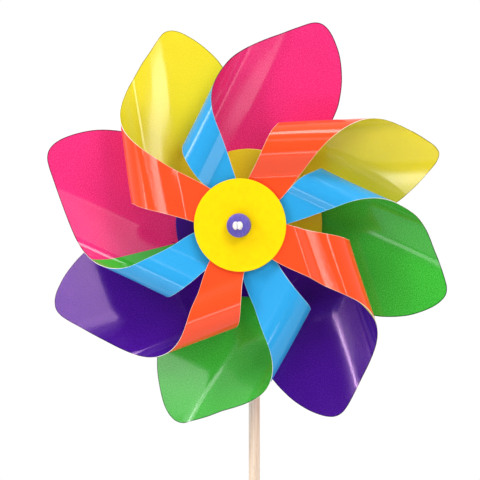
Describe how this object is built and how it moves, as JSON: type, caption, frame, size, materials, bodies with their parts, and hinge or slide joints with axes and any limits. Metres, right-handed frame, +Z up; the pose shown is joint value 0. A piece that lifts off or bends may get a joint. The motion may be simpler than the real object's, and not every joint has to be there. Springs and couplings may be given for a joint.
{
  "type": "pinwheel on a stick",
  "caption": "Wind-driven pinwheel of curled film blades turning on an axle through the top of a round wooden stick.",
  "frame": {"origin": "centre of the stick's lower end", "axes": "+Z up along the stick; the axle runs along Y and the wheel faces -Y; +X to the right seen from the front"},
  "size_m": [0.2846, 0.0807, 0.6268],
  "materials": {
    "front_blade_sheet": "printed glossy film",
    "rear_blade_sheet": "printed glossy film",
    "hub_tube": "moulded",
    "front_disc": "satin",
    "rear_disc": "satin",
    "front_bead": "violet stain, satin",
    "rear_bead": "natural, sanded",
    "stick_washer": "moulded",
    "stick": "natural, sanded",
    "axle_pin": "moulded"
  },
  "bodies": {
    "stick_and_axle": {"stick": "stick", "axle_pin": "axle_pin"},
    "wheel": {"front_blade_sheet": "front_blade_sheet", "rear_blade_sheet": "rear_blade_sheet", "hub_tube": "hub_tube", "front_disc": "front_disc", "rear_disc": "rear_disc"},
    "front_bead": {"front_bead": "front_bead"},
    "rear_bead": {"rear_bead": "rear_bead"},
    "stick_washer": {"stick_washer": "stick_washer"}
  },
  "joints": [
    {"name": "wheel_spin", "type": "hinge", "parent": "stick_and_axle", "child": "wheel", "pos_m": [0, -0.0262, 0.487], "axis": [0, 1, 0], "continuous": true},
    {"name": "front_bead_spin", "type": "hinge", "parent": "stick_and_axle", "child": "front_bead", "pos_m": [0, -0.066, 0.487], "axis": [0, 1, 0], "continuous": true},
    {"name": "rear_bead_spin", "type": "hinge", "parent": "stick_and_axle", "child": "rear_bead", "pos_m": [0, -0.0145, 0.487], "axis": [0, 1, 0], "continuous": true},
    {"name": "stick_washer_spin", "type": "hinge", "parent": "stick_and_axle", "child": "stick_washer", "pos_m": [0, -0.0045, 0.487], "axis": [0, 1, 0], "continuous": true}
  ]
}
